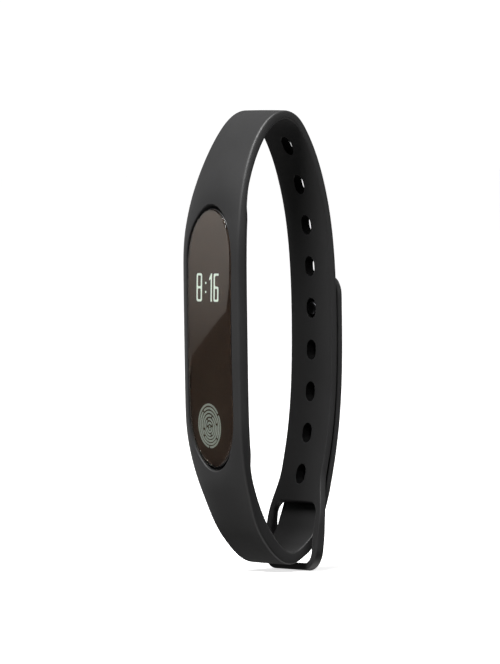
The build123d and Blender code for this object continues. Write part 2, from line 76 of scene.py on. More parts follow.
# ---- sizes taken from the frame ----
FACE_Y = low("display_lens", 1)
CAPSULE_Z = halfway("display_lens", 2)
LENS_HALF = (high("display_lens", 0), high("display_lens", 2) - CAPSULE_Z)
SHELL_HALF = (high("capsule_shell", 0), high("capsule_shell", 2) - CAPSULE_Z)
REAR_HALF = (high("rear_cover", 0), high("rear_cover", 2) - CAPSULE_Z)
CRADLE_HALF_W = high("strap_cradle", 0)
STRAP_HALF_W = high("strap_upper", 0)
TAIL_HALF_W = high("strap_tail", 0)
LOOP_HALF_W = high("strap_keeper_loop", 0)
STUD_Z = halfway("clasp_cap", 2)
FLOOR_Z = low("strap_keeper_loop", 2) - 0.1

# ---- the strap's side view: (y, z) from the middle of the cradle outwards ----
HOLE_SIDE = [
    (-10.35, 0.95), (-10.33, 11.0), (-10.17, 16.8), (-9.54, 21.8), (-8.25, 26.6), (-6.12, 31.8),
    (-4.4, 34.6), (-1.85, 37.1), (0.15, 37.75), (2.15, 37.15), (4.1, 34.8), (5.61, 31.8),
    (7.33, 26.8), (8.46, 21.8), (9.5, 11.8), (9.62, 0.1), (9.16, -9.9), (8.3, -16.6),
    (6.92, -23.2), (5.45, -29.9), (4.8, -34.0), (4.35, -38.4),
]
STUD_SIDE = [
    (-10.35, 0.95), (-10.33, -9.1), (-10.17, -14.9), (-9.54, -19.9), (-8.25, -24.7),
    (-6.15, -29.7), (-3.8, -33.25), (-1.4, -35.6), (0.7, -36.35), (2.8, -35.65),
    (4.85, -33.8), (6.15, -30.8), (7.38, -27.4), (8.5, -23.2), (9.78, -16.6),
    (10.56, -9.9), (10.97, 0.1), (11.0, 10.6),
]
STRAP_T = 1.2
TAIL_T = 1.05
WIDE_TO = 13.0              # the cradle keeps its full width this far from its middle
NARROW_AT = 38.0            # and has the strap's width from here on
SWELL_AT = 24.0             # the cradle's front is highest here, beyond the capsule's ends
SWELL_H = 0.45              # by this much
SWELL_LENGTHS = (4.5, 8.0)  # it falls off over these, towards the capsule and away from it
STRAP_CROWN = 0.05          # the strap's outer face is crowned by this,
CRADLE_CROWN = 0.6          # and the cradle's by this more,
CROWN_TO = 40.0             # which has gone here
CROWN_POWER = (2.2, 9.0)    # the crown's shape beyond the capsule and beside it: 9 is flatter
EDGE_DROP = 0.03            # the outer face's edges are this much lower than a flat strap's
FLANGE_RISE = 1.35          # the cradle's back flange stands inward by this
FLANGE_FADES = (19.0, 27.0)             # stations over which it fades out
FLANGE_ACROSS = (0.8, 1.0)  # and the parts of the half width where it fades towards the edge
TAIL_NARROWS = (33.0, 44.0)             # stations, towards the stud, where the strap narrows
TAIL_THINS = (32.0, 44.0)               # and where it thins, to the tail's sizes

# the bends beside the cradle are thicker: over the wrist inwards, and under it on both faces
TOP_THICKER = 0.4
TOP_THICK = (22.0, 34.0, 38.0, 46.0)    # stations where it grows thicker and thins again
UNDER_THICKER = 0.6
UNDER_THICK = (18.0, 32.0, 45.0, 49.0)
UNDER_RISE = 0.45
UNDER_RISES = (26.0, 34.0, 40.0, 43.5)

# ---- stations along the strap: positive on the hole side, negative on the stud side ----
TOP_CUT = 34.0              # the strap is in seven pieces, cut at these stations
BACK_CUT = 65.7
BOTTOM_CUT = -31.0
WINDOW_CUT = -46.0
EXIT_CUT = -52.0
TIP_CUT = -69.5
STUD_HOLE = 4               # the hole that holds the stud, counted from 0
HOLES = [76.2 + 7.0 * (k - STUD_HOLE) for k in range(9)]
HOLE_HALF = (1.3, 1.65)
HOLE_TAPER = 0.65           # the holes are this much smaller at the outer face, on each side,
STUD_HOLE_TAPER = 0.1       # and the stud's hole only this much
HOLE_REACH = 2.8            # half the length of each hole's own block of mesh
LOOP_HOLES_FROM = 3         # the holes before this one are above BACK_CUT
NECK = (103.5, 112.0)       # the hole side widens into the keeper loop between these
LOOP_START = 107.7
LOOP_CORNER_R = 3.6
LOOP_THICKER = 0.4          # the loop's lower part is this much thicker, outwards
LOOP_GROWS = (110.5, 115.0)
WINDOW_HALF_W = 6.15
WINDOW_Z = (-27.3, -37.2)
WINDOW_CORNER_R = 1.9
WINDOW_R = 0.4              # rounding of the window's edges
TIP_CORNER_R = 3.2
TIP_START = -79.0

# ---- capsule: straight sides and half-ellipse ends ----
END_L = 8.8
CURVE_DROP = 0.8            # how far the ends of the curved face fall back
POCKET_CLEAR = 0.1
LEDGE_DEPTH = 2.8
TRENCH_DEPTH = 0.9

# ---- the cradle's opening: a rounded lip in front of a trench, and an edge at the back ----
OPENING = (-25.0, 27.0)     # stations of the block of mesh that has the opening
LIP_HALF = (SHELL_HALF[0] + 0.12, 21.87)
LIP_END_L = END_L + 0.4
LIP_Z = 0.72
LIP_R = 0.16
BACK_R = 0.12

# ---- the tip's bore and recess ----
CAP_CLEAR = 0.04
RECESS_DEPTH = 0.32
RECESS_R = 0.1              # rounding of the recess's rim
BORE_R = 0.95
BORE_FLARE = 0.08           # the bore's inner end is chamfered by this

# ---- mesh sizes ----
EDGE_R = 0.26               # rounding of the strap's long edges
CRADLE_EDGE_R = 0.52        # and of the cradle's
EDGE_FADES = (30.0, 46.0)   # stations between which the one becomes the other
HOLE_R = 0.11               # rounding of the holes' rims
SHADE_QUADS = 3                   # the holes' painted shade goes this many quads over each rim
WORN = (1.0, 0.3)           # wear over the outer edges and over the inner ones
STEP = 0.5                  # length of a quad along the strap
CUT_STEP = 0.02             # and of the row beside a cut
ACROSS = 32                 # quads across it
RIM_STEPS = 6               # quads in a quarter turn over an edge


# ---- side-view line ----

def cubic_line(points, start_tangent):
    """Smooth cubic curve through points, sampled densely, with its first tangent given."""
    p = np.array(points, float)
    chord = np.hypot(*np.diff(p, axis=0).T)
    n = len(p)
    system = np.zeros((n, n))
    right = np.zeros((n, 2))
    system[0, 0] = system[-1, -1] = 1
    right[0] = start_tangent
    right[-1] = (p[-1] - p[-2]) / chord[-1]
    for i in range(1, n - 1):
        a, b = chord[i - 1], chord[i]
        system[i, i - 1:i + 2] = b, 2 * (a + b), a
        right[i] = 3 * (b * (p[i] - p[i - 1]) / a + a * (p[i + 1] - p[i]) / b)
    slope = np.linalg.solve(system, right)
    spans = []
    for i in range(n - 1):
        t = np.linspace(0, 1, 200, endpoint=i == n - 2)[:, None]
        rise = t * t * (3 - 2 * t)
        leave = t * (1 - t) ** 2 * chord[i]
        arrive = t * t * (t - 1) * chord[i]
        spans.append((1 - rise) * p[i] + rise * p[i + 1] + leave * slope[i] + arrive * slope[i + 1])
    return np.vstack(spans)


def strap_line():
    """Stations, (y, z) points and outward directions along the whole strap."""
    hole = cubic_line(HOLE_SIDE, (0, 1))
    stud = cubic_line(STUD_SIDE, (0, -1))
    line = np.vstack([stud[:0:-1], hole])
    steps = np.hypot(*np.diff(line, axis=0).T)
    stations = np.concatenate([[0], np.cumsum(steps)]) - steps[:len(stud) - 1].sum()
    along = np.gradient(line, axis=0)
    along /= np.hypot(*along.T)[:, None]
    return stations, line, np.column_stack([-along[:, 1], along[:, 0]])


STATIONS, LINE, OUTWARD = strap_line()
# stretches of the strap that pass each height once
FRONT = np.abs(STATIONS) < 32
LOOP = STATIONS > 100
TAIL = STATIONS < -56


def place(s, x, h):
    """Point of the strap at a station, an offset across and a height over the mid-surface."""
    y, z = (np.interp(s, STATIONS, LINE[:, k] + h * OUTWARD[:, k]) for k in (0, 1))
    return (x, y, z)


def station_of(z, part):
    """Stations where one part of the strap passes heights."""
    order = np.argsort(LINE[part, 1])
    return np.interp(z, LINE[part, 1][order], STATIONS[part][order])


def fade(value, full, none):
    """1 up to full, 0 from none on, and a smooth curve between."""
    t = min(1.0, max(0.0, (value - full) / (none - full)))
    return 1.0 - t * t * (3.0 - 2.0 * t)


def swell(s, rise_from, rise_to, fall_from, fall_to):
    """0, then 1 between the middle two stations, then 0 again, smoothly."""
    return (1 - fade(s, rise_from, rise_to)) * fade(s, fall_from, fall_to)


# ---- the strap's faces over its mid-surface ----

def half_width(s):
    if s > NARROW_AT:
        return STRAP_HALF_W + (LOOP_HALF_W - STRAP_HALF_W) * (1 - fade(s, *NECK))
    width = STRAP_HALF_W + (CRADLE_HALF_W - STRAP_HALF_W) * fade(abs(s), WIDE_TO, NARROW_AT)
    return width - (STRAP_HALF_W - TAIL_HALF_W) * (1 - fade(-s, *TAIL_NARROWS))


def edge_radius(s):
    return EDGE_R + (CRADLE_EDGE_R - EDGE_R) * fade(abs(s), *EDGE_FADES)


def thickness(s):
    return TAIL_T + (STRAP_T - TAIL_T) * fade(-s, *TAIL_THINS)


def top_height(s, x):
    """Outer face: crowned across, and swollen just beyond the capsule's ends."""
    beyond = abs(s) - SWELL_AT
    crest = SWELL_H * fade(abs(beyond), 0.0, SWELL_LENGTHS[1 if beyond > 0 else 0])
    crown = STRAP_CROWN + CRADLE_CROWN * fade(abs(s), SWELL_AT, CROWN_TO) + crest
    extra = LOOP_THICKER * (1 - fade(s, *LOOP_GROWS)) + UNDER_RISE * swell(-s, *UNDER_RISES)
    edge = thickness(s) / 2 - EDGE_DROP + extra
    power = CROWN_POWER[0] + (CROWN_POWER[1] - CROWN_POWER[0]) * fade(abs(s), WIDE_TO, SWELL_AT)
    across = min(1.0, abs(x) / half_width(s))
    return edge + crown * (1 - across**power)


def bottom_height(s, x):
    """Inner face, with the cradle's flange rising inward."""
    across = abs(x) / half_width(s)
    flange = FLANGE_RISE * fade(abs(s), *FLANGE_FADES) * fade(across, *FLANGE_ACROSS)
    extra = TOP_THICKER * swell(s, *TOP_THICK) + UNDER_THICKER * swell(-s, *UNDER_THICK)
    return -thickness(s) / 2 - math.hypot(flange, extra)


# ---- outlines: closed loops of points, from the lower left corner's middle ----

def rounded_sides(half, radii, centre=0.0):
    """Four sides of a rounded rectangle, each from one corner's middle to the next."""
    ax, ay = half[0] - radii[0], half[1] - radii[1]
    corners = [(-ax, -ay), (ax, -ay), (ax, ay), (-ax, ay)]

    def arc(corner, start, stop):
        turn = np.radians(np.linspace(start, stop, 40))
        x = corner[0] + radii[0] * np.cos(turn)
        return np.column_stack([x, centre + corner[1] + radii[1] * np.sin(turn)])

    sides = []
    for k in range(4):
        start = 225 + 90 * k
        first, second = corners[k], corners[(k + 1) % 4]
        sides.append(np.vstack([arc(first, start, start + 45), arc(second, start + 45, start + 90)]))
    return sides


def spread(side, count):
    """Evenly spaced points along a side, without its last one."""
    steps = np.hypot(*np.diff(side, axis=0).T)
    lengths = np.concatenate([[0], np.cumsum(steps)])
    marks = np.linspace(0, lengths[-1], count + 1)[:-1]
    return np.column_stack([np.interp(marks, lengths, side[:, k]) for k in (0, 1)])


def loop_of(sides, counts):
    return np.vstack([spread(side, count) for side, count in zip(sides, counts)])


def oval(half, end, centre, counts):
    """Loop with straight sides and half-ellipse ends of a given length."""
    return loop_of(rounded_sides(half, (half[0], end), centre), counts)


def block_sides(first, last, end_r=None, lift=False):
    """Sides of a stretch of strap inside its rounded edges; end_r rounds a free end's corners.

    lift puts the free end at the stretch's lower station.
    """
    stations = np.linspace(first, last, 80)
    edge = np.array([half_width(s) - edge_radius(s) for s in stations])
    right = np.column_stack([edge, stations])
    left = np.column_stack([-edge, stations])[::-1]
    bottom = np.array([left[-1], right[0]])
    top = np.array([right[-1], left[0]])
    if end_r is None:
        return [bottom, right, top, left]
    turn = np.radians(np.linspace(0, 45, 30))
    radius = end_r - EDGE_R
    tip = first + EDGE_R if lift else last - EDGE_R
    sign = -1 if lift else 1
    middle = tip - sign * radius
    wide = float(np.interp(middle, stations, edge))
    across, along = radius * np.cos(turn), sign * radius * np.sin(turn)
    side_arc = np.column_stack([wide - radius + across, middle + along])
    end_arc = np.column_stack([wide - radius + sign * along, middle + sign * across])
    mirror = np.array([-1, 1])
    if lift:
        right = np.vstack([side_arc[::-1], right[right[:, 1] > middle]])
        left = (right * mirror)[::-1]
        bottom = np.vstack([(end_arc * mirror)[::-1], end_arc])
    else:
        right = np.vstack([right[right[:, 1] < middle], side_arc])
        left = (right * mirror)[::-1]
        top = np.vstack([end_arc[::-1], end_arc * mirror])
    return [bottom, right, top, left]


# ---- meshes ----

def make_mesh(name, verts, faces, material, worn=None, sharp=35, hole_shade=None, shaded_faces=()):
    """Mesh object from points in millimetres, with outward normals and smooth shading.

    The faces whose numbers are given last get the second material, the painted shade of the holes'
    walls.
    """
    mesh = bpy.data.meshes.new(name)
    mesh.from_pydata((np.array(verts, float) * MM).tolist(), [], [list(f) for f in faces])
    mesh.materials.append(material)
    if shaded_faces:
        mesh.materials.append(hole_shade)
        for i in shaded_faces:
            mesh.polygons[i].material_index = 1
    if worn is not None:
        mesh.attributes.new("worn", "FLOAT", "POINT").data.foreach_set("value", worn)
    build = bmesh.new()
    build.from_mesh(mesh)
    bmesh.ops.remove_doubles(build, verts=build.verts, dist=2e-7)
    bmesh.ops.dissolve_degenerate(build, edges=build.edges, dist=1e-8)
    bmesh.ops.recalc_face_normals(build, faces=build.faces)
    build.to_mesh(mesh)
    build.free()
    mesh.shade_smooth()
    mesh.set_sharp_from_angle(angle=math.radians(sharp))
    obj = bpy.data.objects.new(name, mesh)
    bpy.context.scene.collection.objects.link(obj)
    return obj


def rounded(start, stop, height, drop):
    """Rows of a quarter turn from a face's last point to the wall below it.

    Points are (x, station). A negative drop is for the inner face, whose wall goes up.
    """
    rows = []
    for k in range(1, RIM_STEPS + 1):
        turn = math.pi / 2 * k / RIM_STEPS
        x, s = np.array(start) + (np.array(stop) - start) * math.sin(turn)
        rows.append(place(s, x, height - drop * (1 - math.cos(turn))))
    return rows


def rim_rows(upper, lower, out, radius):
    """Rounded rows over an edge, from the outer face's last point to the inner face's.

    The outer quarter starts with the face's own slope.
    """
    x, s = upper
    probe = 0.05
    top = top_height(s, x)
    slope = (top - top_height(s + out[1] * probe, x + out[0] * probe)) / probe
    first = math.atan(max(0.0, slope))
    rows = []
    for k in range(1, RIM_STEPS + 1):
        turn = first + (math.pi / 2 - first) * k / RIM_STEPS
        step = radius * (math.sin(turn) - math.sin(first)) / (1 - math.sin(first))
        drop = radius * (math.cos(first) - math.cos(turn))
        rows.append(place(s + out[1] * step, x + out[0] * step, top - drop))
    bottom = bottom_height(lower[1], lower[0])
    return rows + rounded(lower, lower + out * radius, bottom, -radius)[::-1]


class Sheet:
    """Layout of a strap piece: quads over (x, station) points, cut off flat at some stations."""

    def __init__(self, *cuts):
        self.cuts = cuts
        self.points = []
        self.lower = []
        self.index = {}
        self.quads = []
        self.radius = {}
        self.walls = {}

    def point(self, upper, lower):
        """Number of the point at a place, shared by blocks that meet there."""
        key = (round(upper[0] * 1000 + 0.137), round(upper[1] * 1000 + 0.137))
        if key not in self.index:
            self.index[key] = len(self.points)
            self.points.append(tuple(map(float, upper)))
            self.lower.append(tuple(map(float, lower)))
        return self.index[key]

    def grid(self, first, last):
        """Rows of quads between two stations, with a very short row beside each cut."""
        count = max(1, round((last - first) / STEP))
        stations = list(np.linspace(first, last, count + 1))
        if first in self.cuts:
            stations.insert(1, first + CUT_STEP)
        if last in self.cuts:
            stations.insert(-1, last - CUT_STEP)
        previous = None
        for s in stations:
            edge = half_width(s) - edge_radius(s)
            row = [self.point((x, s), (x, s)) for x in np.linspace(-edge, edge, ACROSS + 1)]
            if previous:
                for i in range(ACROSS):
                    self.quads.append((previous[i], previous[i + 1], row[i + 1], row[i]))
            previous = row

    def ring(self, outer, inner, rings, radius, lower=None, walls=None):
        """Quads from a closed loop in to an opening, whose side is rounded or has given rows."""
        lower = inner if lower is None else lower
        count = len(outer)
        previous = None
        for k in range(rings + 1):
            t = k / rings
            uppers = outer * (1 - t) + inner * t
            lowers = outer * (1 - t) + lower * t
            row = [self.point(uppers[i], lowers[i]) for i in range(count)]
            if previous:
                for i in range(count):
                    j = (i + 1) % count
                    self.quads.append((previous[i], previous[j], row[j], row[i]))
            previous = row
        for i, index in enumerate(previous):
            self.radius[index] = radius
            if walls:
                self.walls[index] = walls[i]

    def cut_at(self, index):
        return next((c for c in self.cuts if abs(self.points[index][1] - c) < 1e-6), None)

    def open_edges(self):
        seen = {}
        for quad in self.quads:
            for a, b in zip(quad, quad[1:] + quad[:1]):
                key = (min(a, b), max(a, b))
                seen[key] = None if key in seen else (a, b)
        return [edge for edge in seen.values() if edge]

    def solid(self, name, material, hole_shade=None):
        """The piece's mesh; the walls of its holes get painted shade, a near-black, dull rubber."""
        points = np.array(self.points)
        rim_edges, cut_ends, outs = [], {}, {}
        for a, b in self.open_edges():
            cut = self.cut_at(a)
            if cut is not None and cut == self.cut_at(b):
                cut_ends.setdefault(cut, set()).update((a, b))
                continue
            rim_edges.append((a, b))
            along = points[b] - points[a]
            for v in (a, b):
                outs[v] = outs.get(v, 0) + np.array([along[1], -along[0]]) / np.hypot(*along)
        verts = [place(s, x, top_height(s, x)) for x, s in self.points]
        verts += [place(s, x, bottom_height(s, x)) for x, s in self.lower]
        worn = [0.0] * len(verts)
        below = len(self.points)
        rims = {}
        for v, out in outs.items():
            out = out / np.hypot(*out)
            if self.cut_at(v) is not None:
                out = np.array([math.copysign(1.0, out[0]), 0.0])
            radius = self.radius.get(v, edge_radius(points[v][1]))
            rows = self.walls.get(v) or rim_rows(self.points[v], self.lower[v], out, radius)
            start = len(verts)
            verts += rows
            worn += [WORN[0]] * RIM_STEPS + [WORN[1]] * (len(rows) - RIM_STEPS)
            rims[v] = [v, *range(start, start + len(rows)), v + below]
        faces = self.quads + [[v + below for v in reversed(quad)] for quad in self.quads]
        shaded_faces = []  # numbers of the faces with painted shade
        for a, b in rim_edges:
            first, second = rims[a], rims[b]
            # the holes' walls, a few quads over each rim, get the painted shade
            if self.radius.get(a) == HOLE_R:
                wall = len(faces) + RIM_STEPS
                shaded_faces += range(wall - SHADE_QUADS, wall + SHADE_QUADS + 1)
            for k in range(len(first) - 1):
                faces.append((second[k], first[k], first[k + 1], second[k + 1]))
        for ends in cut_ends.values():
            row = sorted(ends, key=lambda v: points[v][0])
            faces += [(a, b, b + below, a + below) for a, b in zip(row, row[1:])]
            faces += [rims[row[0]], rims[row[-1]]]
        return make_mesh(name, verts, faces, material, worn, hole_shade=hole_shade, shaded_faces=shaded_faces)


# ---- strap pieces ----

def side_counts(first, last):
    """Quads along each side of a block of mesh between two stations."""
    along = round((last - first) / STEP)
    return (ACROSS, along, ACROSS, along)


def add_hole(sheet, centre, first, last):
    """One oval hole in a full-width stretch of strap, smaller at the outer face."""
    taper = STUD_HOLE_TAPER if centre == HOLES[STUD_HOLE] else HOLE_TAPER
    counts = side_counts(first, last)

    def rim(grown):
        half = (HOLE_HALF[0] + grown, HOLE_HALF[1] + grown)
        return oval(half, half[0], centre, counts)

    block = loop_of(block_sides(first, last), counts)
    sheet.ring(block, rim(HOLE_R - taper), 8, HOLE_R, rim(HOLE_R))


def add_holes(sheet, first, last, holes):
    """A stretch of strap with holes, each in a block of its own."""
    at = first
    for hole in holes:
        sheet.grid(at, hole - HOLE_REACH)
        add_hole(sheet, hole, hole - HOLE_REACH, hole + HOLE_REACH)
        at = hole + HOLE_REACH
    sheet.grid(at, last)


def face_point(x, z, depth):
    """Point at a depth behind the capsule's curved face."""
    return (x, FACE_Y + depth + CURVE_DROP * ((z - CAPSULE_Z) / LENS_HALF[1]) ** 2, z)


def in_stations(loop):
    """Front view's (x, z) points as the cradle's (x, station) ones."""
    return np.column_stack([loop[:, 0], station_of(loop[:, 1], FRONT)])


def make_front(material):
    """The cradle: a frame around the capsule with a rounded lip, a trench, a ledge and a flange."""
    sheet = Sheet(BOTTOM_CUT, TOP_CUT)
    first, last = OPENING
    counts = side_counts(first, last)

    def opening(half, grown, end=END_L, middle=CAPSULE_Z):
        return oval((half[0] + grown, half[1] + grown), end, middle, counts)

    lip = opening(LIP_HALF, 0.0, LIP_END_L, LIP_Z)
    lip_base = opening(LIP_HALF, LIP_R, LIP_END_L + LIP_R, LIP_Z)
    pocket = opening(SHELL_HALF, POCKET_CLEAR)
    rear = opening(REAR_HALF, POCKET_CLEAR)
    rear_base = opening(REAR_HALF, POCKET_CLEAR + BACK_R)
    upper, lower = in_stations(lip_base), in_stations(rear_base)
    lip_s, rear_s = in_stations(lip), in_stations(rear)
    walls = []
    for i in range(len(lip)):
        rows = rounded(upper[i], lip_s[i], top_height(upper[i][1], upper[i][0]), LIP_R)
        for at, depth in (
            (lip[i], TRENCH_DEPTH * 0.7), ((lip[i] + pocket[i]) / 2, TRENCH_DEPTH),
            (pocket[i], TRENCH_DEPTH), (pocket[i], LEDGE_DEPTH), (rear[i], LEDGE_DEPTH),
        ):
            rows.append(face_point(*at, depth))
        rows += rounded(lower[i], rear_s[i], bottom_height(lower[i][1], lower[i][0]), -BACK_R)[::-1]
        walls.append(rows)
    sheet.grid(BOTTOM_CUT, first)
    sheet.ring(loop_of(block_sides(first, last), counts), upper, 12, LIP_R, lower, walls)
    sheet.grid(last, TOP_CUT)
    return sheet.solid("strap_front", material)


def make_top(material, hole_shade):
    """Over the top of the wrist and down the back to the last hole above the back bend."""
    sheet = Sheet(TOP_CUT, BACK_CUT)
    add_holes(sheet, TOP_CUT, BACK_CUT, HOLES[:LOOP_HOLES_FROM])
    return sheet.solid("strap_top", material, hole_shade)


def make_back(material, hole_shade):
    """Down the back, with the rest of the holes, to the keeper loop and its window."""
    sheet = Sheet(BACK_CUT)
    add_holes(sheet, BACK_CUT, LOOP_START, HOLES[LOOP_HOLES_FROM:])
    end = float(STATIONS[-1])
    counts = side_counts(LOOP_START, end)
    top, foot = (float(station_of(z, LOOP)) for z in WINDOW_Z)
    half = (WINDOW_HALF_W + WINDOW_R, (foot - top) / 2 + WINDOW_R)
    corner = WINDOW_CORNER_R + WINDOW_R
    window = loop_of(rounded_sides(half, (corner, corner), (top + foot) / 2), counts)
    sheet.ring(loop_of(block_sides(LOOP_START, end, LOOP_CORNER_R), counts), window, 4, WINDOW_R)
    return sheet.solid("strap_back", material, hole_shade)


def make_stretch(name, first, last, material):
    sheet = Sheet(first, last)
    sheet.grid(first, last)
    return sheet.solid(name, material)


def make_tip(material):
    """Free end of the stud side, with the bore and recess for the stud and its cap."""
    sheet = Sheet(TIP_CUT)
    end = float(STATIONS[0])
    counts = side_counts(end, TIP_START)
    stud_s = float(station_of(STUD_Z, TAIL))

    def circle(radius):
        return oval((radius, radius), radius, stud_s, counts)

    cap_r = high("clasp_cap", 0) + CAP_CLEAR
    lip, recess = circle(cap_r + RECESS_R), circle(cap_r)
    bore, back = circle(BORE_R), circle(BORE_R + BORE_FLARE)
    floor = thickness(stud_s) / 2 - RECESS_DEPTH
    walls = []
    for i in range(len(lip)):
        rows = rounded(lip[i], recess[i], top_height(lip[i][1], lip[i][0]), RECESS_R)
        rows.append(place(recess[i][1], recess[i][0], floor))
        rows.append(place(bore[i][1], bore[i][0], floor))
        rows.append(place(bore[i][1], bore[i][0], BORE_FLARE - TAIL_T / 2))
        walls.append(rows)
    block = loop_of(block_sides(end, TIP_START, TIP_CORNER_R, True), counts)
    sheet.ring(block, lip, 10, RECESS_R, back, walls)
    sheet.grid(TIP_START, TIP_CUT)
    return sheet.solid("strap_tip", material)


# ---- capsule pieces ----

CAPSULE_COUNTS = (24, 90, 24, 90)       # quads along each side of its outline


def capsule_rows(half, profile):
    """Loops of the capsule's outline, each inset and at a depth behind the curved face."""
    rows = []
    for inset, depth in profile:
        inner = (half[0] - inset, half[1] - inset)
        loop = oval(inner, END_L - inset, CAPSULE_Z, CAPSULE_COUNTS)
        rows.append([face_point(x, z, depth) for x, z in loop])
    return rows


def loft(name, rows, material, closed=False, sharp=35):
    """Skin over closed loops. A closed one joins its last loop to its first."""
    count = len(rows[0])
    verts = [p for row in rows for p in row]
    faces = []
    for a in range(len(rows) - (not closed)):
        b = (a + 1) % len(rows)
        for i in range(count):
            j = (i + 1) % count
            faces.append((a * count + i, a * count + j, b * count + j, b * count + i))
    return make_mesh(name, verts, faces, material, sharp=sharp)


def plate(name, half, profile, material):
    """Curved plate of the capsule's outline: its faces shrink to a line down the middle."""
    spine_z = half[1] - END_L

    def shrink(row, depth):
        out = []
        for t in np.linspace(0.125, 1.0, 8):
            ring = []
            for x, _, z in row:
                middle = max(CAPSULE_Z - spine_z, min(CAPSULE_Z + spine_z, z))
                ring.append(face_point(x * (1 - t), z + (middle - z) * t, depth))
            out.append(ring)
        return out

    rows = capsule_rows(half, profile)
    front = shrink(rows[0], profile[0][1])[::-1]
    back = shrink(rows[-1], profile[-1][1])
    return loft(name, front + rows + back, material, sharp=60)


def make_lens(material):
    """Cover glass with a ground edge all round."""
    profile = [
        (0.3, 0.0), (0.1, 0.002), (0.05, 0.008), (0.012, 0.04), (0.0, 0.07), (0.0, 0.5), (0.1, 0.6),
    ]
    return plate("cover_glass", LENS_HALF, profile, material)


def make_mask(material):
    """Ink layer on the back of the glass."""
    return plate("ink_mask", LENS_HALF, [(0.16, 0.54), (0.13, 0.555), (0.16, 0.59)], material)


def make_shell(material):
    """Front shell: rim, seat for the glass, ledge, cavity, floor and the cover's opening."""
    profile = [
        (0.05, 0.2), (0.0, 0.25), (0.0, 2.58), (0.12, 2.7), (1.56, 2.7), (1.56, 2.1),
        (0.9, 2.1), (0.9, 0.7), (0.15, 0.7), (0.15, 0.23), (0.12, 0.2),
    ]
    return loft("front_shell", capsule_rows(SHELL_HALF, profile), material, closed=True)


def rounded_outline(points, radius):
    """Polygon with each corner turned by a short curve."""
    p = np.array(points, float)
    out = []
    for before, corner, after in zip(np.roll(p, 1, axis=0), p, np.roll(p, -1, axis=0)):
        a, b = before - corner, after - corner
        reach = min(radius, 0.45 * np.hypot(*a), 0.45 * np.hypot(*b))
        start = corner + a / np.hypot(*a) * reach
        stop = corner + b / np.hypot(*b) * reach
        for t in np.linspace(0, 1, 6):
            out.append((1 - t) ** 2 * start + 2 * t * (1 - t) * corner + t * t * stop)
    return out


def box_outline(x0, z0, x1, z1, radius):
    return rounded_outline([(x0, z0), (x1, z0), (x1, z1), (x0, z1)], radius)


def stroke(points, half):
    """Outline of a line of constant width with round ends."""
    p = np.array(points, float)
    along = np.gradient(p, axis=0)
    along /= np.hypot(*along.T)[:, None]
    side = np.column_stack([-along[:, 1], along[:, 0]]) * half

    def cap(centre, start):
        angles = math.atan2(start[1], start[0]) - np.radians([30, 60, 90, 120, 150])
        return [centre + half * np.array([math.cos(a), math.sin(a)]) for a in angles]

    return [*(p + side), *cap(p[-1], side[-1]), *(p - side)[::-1], *cap(p[0], -side[0])]


def flat_shape(name, outlines, middle, front, back, material):
    """Thin shape on the curved display, from outlines; an outline inside another is a hole."""
    verts, faces = [], []
    for group in outlines:
        flat = [[Vector((x, z, 0)) for x, z in loop] for loop in group]
        points = [p for loop in group for p in loop]
        start, count = len(verts), len(points)
        for depth in (front, back):
            verts += [face_point(x + middle[0], z + middle[1], depth) for x, z in points]
        for tri in tessellate_polygon(flat):
            faces.append([start + i for i in tri])
            faces.append([start + count + i for i in reversed(tri)])
        at = start
        for loop in group:
            for i in range(len(loop)):
                a, b = at + i, at + (i + 1) % len(loop)
                faces.append((a, b, b + count, a + count))
            at += len(loop)
    return make_mesh(name, verts, faces, material, sharp=30)


DIGIT_HALF_H = 2.35
DIGIT_W = 1.62
ONE_W = 0.8
STROKE = 0.37
GLYPHS_AT = (-3.92, -0.15, 1.15)        # left ends of the eight, the one and the six
DOTS_X = (-1.35, -1.02)
DOTS_Z = (-0.75, 0.75)
DOT_HALF_H = 0.18
DIGITS_RAISED = 0.3         # the digits stand this much above the middle of the CAD's
PRINT_DEPTHS = (0.47, 0.52)             # front and back of what lies under the glass

ICON_SIZE = 0.97            # the touch mark's share of the CAD's, and how far it is moved
ICON_MOVE = (-1.0, 0.7)
ICON_RINGS = 7
ICON_PITCH = 0.5
ICON_HALF_LINE = 0.17
ICON_HALF_GAP = 0.3


def glyph_eight(x):
    inner = (x + STROKE, x + DIGIT_W - STROKE)
    upper = box_outline(inner[0], STROKE / 2, inner[1], DIGIT_HALF_H - STROKE, 0.25)
    lower = box_outline(inner[0], STROKE - DIGIT_HALF_H, inner[1], -STROKE / 2, 0.25)
    return [box_outline(x, -DIGIT_HALF_H, x + DIGIT_W, DIGIT_HALF_H, 0.5), upper, lower]


def glyph_six(x):
    right, inner = x + DIGIT_W * 0.9, x + STROKE
    h, half = DIGIT_HALF_H, STROKE / 2
    outer = [
        (x, -h), (right, -h), (right, half), (inner, half), (inner, h - STROKE),
        (right, h - STROKE), (right, h), (x, h),
    ]
    hole = box_outline(inner, STROKE - h, right - STROKE, -half, 0.2)
    return [rounded_outline(outer, 0.4), hole]


def glyph_one(x):
    right, h = x + ONE_W, DIGIT_HALF_H
    stem = right - STROKE
    outer = [
        (stem, -h), (right, -h), (right, h), (stem + 0.1, h),
        (x, h - 0.8), (x, h - 1.2), (stem, h - 0.9),
    ]
    return [rounded_outline(outer, 0.12)]


def make_digits(material):
    """Generic clock digits: 8, a colon, 1 and 6."""
    eight, one, six = GLYPHS_AT
    left, right = DOTS_X
    dots = [[box_outline(left, z - DOT_HALF_H, right, z + DOT_HALF_H, 0.1)] for z in DOTS_Z]
    shapes = [glyph_eight(eight), glyph_one(one), glyph_six(six), *dots]
    middle_z = halfway("display_digits", 2) + DIGITS_RAISED
    return flat_shape("time_digits", shapes, (0.0, middle_z), *PRINT_DEPTHS, material)


